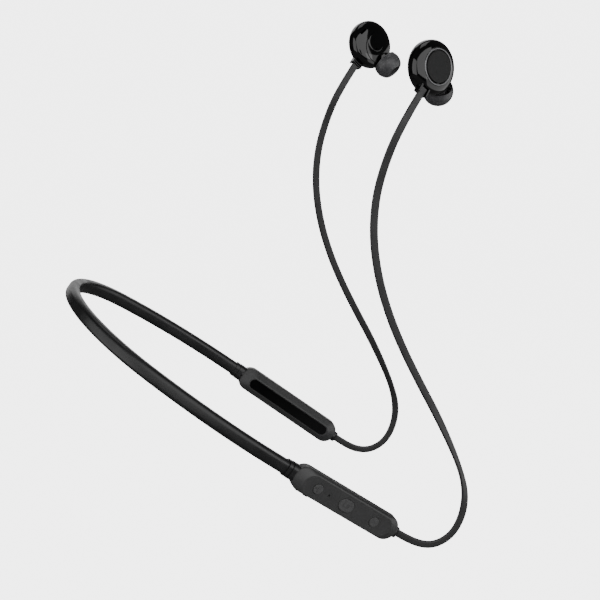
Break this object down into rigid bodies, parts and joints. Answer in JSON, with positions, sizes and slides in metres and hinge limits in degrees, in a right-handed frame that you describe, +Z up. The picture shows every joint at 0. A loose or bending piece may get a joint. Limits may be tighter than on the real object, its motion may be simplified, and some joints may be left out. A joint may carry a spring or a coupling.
{
  "type": "neckband earphones",
  "caption": "Wireless neckband earphones: soft U-shaped band, lozenge control and battery pods, flat cables and in-ear buds with silicone tips.",
  "frame": {"origin": "centre of the band's section where it crosses the nape", "axes": "the wearer faces -Y, +X is the wearer's left, +Z is up as worn"},
  "size_m": [0.1174, 0.1545, 0.204],
  "materials": {
    "band_rubber": "matte, soft",
    "spring_steel": "bright drawn",
    "lead_insulation": "enamelled and twisted",
    "pod_satin": "fine spark texture",
    "gloss_black": "polished",
    "strain_rubber": "satin",
    "circuit_board": "solder mask",
    "switch_plastic": "moulded",
    "port_steel": "plated",
    "shield_steel": "tinned",
    "light_pipe": "clear, polished",
    "button_rubber": "satin",
    "flap_rubber": "satin",
    "battery_wrap": "laminated foil pouch",
    "bud_gloss": "polished",
    "ring_metal": "dark, bright cut edge",
    "cap_matte": "fine matt",
    "magnet_nickel": "nickel plated",
    "driver_plastic": "moulded",
    "diaphragm_film": "thin film",
    "steel_mesh": "woven",
    "tip_silicone": "soft silicone, slightly translucent",
    "cable_rubber": "matte elastomer"
  },
  "bodies": {
    "neckband": {"band_sleeve": "band_rubber", "band_core_wire": "spring_steel", "band_leads": "lead_insulation"},
    "right_arm": {"right_pod_outer_shell": "pod_satin", "right_pod_inner_shell": "pod_satin", "right_pod_inlay": "gloss_black", "right_band_collar": "strain_rubber", "right_cable_grommet": "strain_rubber", "main_board": "circuit_board", "button_switches": "switch_plastic", "usb_receptacle": "port_steel", "bluetooth_module": "shield_steel", "microphone": "shield_steel", "status_light_pipe": "light_pipe", "right_cable": "cable_rubber"},
    "left_arm": {"left_pod_outer_shell": "pod_satin", "left_pod_inner_shell": "pod_satin", "left_pod_inlay": "gloss_black", "left_band_collar": "strain_rubber", "left_cable_grommet": "strain_rubber", "left_battery_cell": "battery_wrap", "left_protection_board": "circuit_board", "left_cable": "cable_rubber"},
    "volume_up": {"volume_up_button": "button_rubber"},
    "main_control": {"main_button": "button_rubber"},
    "volume_down": {"volume_down_button": "button_rubber"},
    "charging_flap": {"port_flap": "flap_rubber"},
    "right_earbud": {"right_rear_housing": "bud_gloss", "right_front_housing": "bud_gloss", "right_trim_ring": "ring_metal", "right_cap": "cap_matte", "right_holding_magnet": "magnet_nickel", "right_driver_frame": "driver_plastic", "right_driver_magnet": "magnet_nickel", "right_diaphragm": "diaphragm_film", "right_nozzle_mesh": "steel_mesh", "right_cable_boot": "bud_gloss"},
    "right_tip": {"right_ear_tip": "tip_silicone"},
    "left_earbud": {"left_rear_housing": "bud_gloss", "left_front_housing": "bud_gloss", "left_trim_ring": "ring_metal", "left_cap": "cap_matte", "left_holding_magnet": "magnet_nickel", "left_driver_frame": "driver_plastic", "left_driver_magnet": "magnet_nickel", "left_diaphragm": "diaphragm_film", "left_nozzle_mesh": "steel_mesh", "left_cable_boot": "bud_gloss"},
    "left_tip": {"left_ear_tip": "tip_silicone"}
  },
  "joints": [
    {"name": "right_arm_flex", "type": "hinge", "parent": "neckband", "child": "right_arm", "pos_m": [0, 0, 0], "axis": [0, 0.6143, -0.7891], "range_deg": [-8, 16], "stiffness_Nm_per_rad": 1, "deforming": ["band_sleeve", "band_core_wire", "band_leads"]},
    {"name": "left_arm_flex", "type": "hinge", "parent": "neckband", "child": "left_arm", "pos_m": [0, 0, 0], "axis": [0, -0.6143, 0.7891], "range_deg": [-8, 16], "stiffness_Nm_per_rad": 1, "deforming": ["band_sleeve", "band_core_wire", "band_leads"]},
    {"name": "volume_up_press", "type": "slide", "parent": "right_arm", "child": "volume_up", "axis": [0.9945, 0.0825, 0.0642], "range_m": [0, 0.0003], "stiffness_N_per_m": 800},
    {"name": "main_press", "type": "slide", "parent": "right_arm", "child": "main_control", "axis": [0.9945, 0.0825, 0.0642], "range_m": [0, 0.0003], "stiffness_N_per_m": 800},
    {"name": "volume_down_press", "type": "slide", "parent": "right_arm", "child": "volume_down", "axis": [0.9945, 0.0825, 0.0642], "range_m": [0, 0.0003], "stiffness_N_per_m": 800},
    {"name": "flap_hinge", "type": "hinge", "parent": "right_arm", "child": "charging_flap", "pos_m": [-0.05425, -0.07804, -0.06721], "axis": [0.9945, 0.0825, 0.0642], "range_deg": [0, 100]},
    {"name": "right_earbud_swing", "type": "hinge", "parent": "right_arm", "child": "right_earbud", "pos_m": [-0.0483, -0.14, -0.085], "axis": [1, 0, 0], "range_deg": [-15, 15], "stiffness_Nm_per_rad": 0.03, "deforming": ["right_cable"]},
    {"name": "left_earbud_swing", "type": "hinge", "parent": "left_arm", "child": "left_earbud", "pos_m": [0.0483, -0.14, -0.085], "axis": [1, 0, 0], "range_deg": [-15, 15], "stiffness_Nm_per_rad": 0.03, "deforming": ["left_cable"]},
    {"name": "right_tip_slide", "type": "slide", "parent": "right_earbud", "child": "right_tip", "axis": [0.5047, -0.1507, -0.85], "range_m": [0, 0.008]},
    {"name": "left_tip_slide", "type": "slide", "parent": "left_earbud", "child": "left_tip", "axis": [-0.5534, -0.546, -0.629], "range_m": [0, 0.008]}
  ]
}
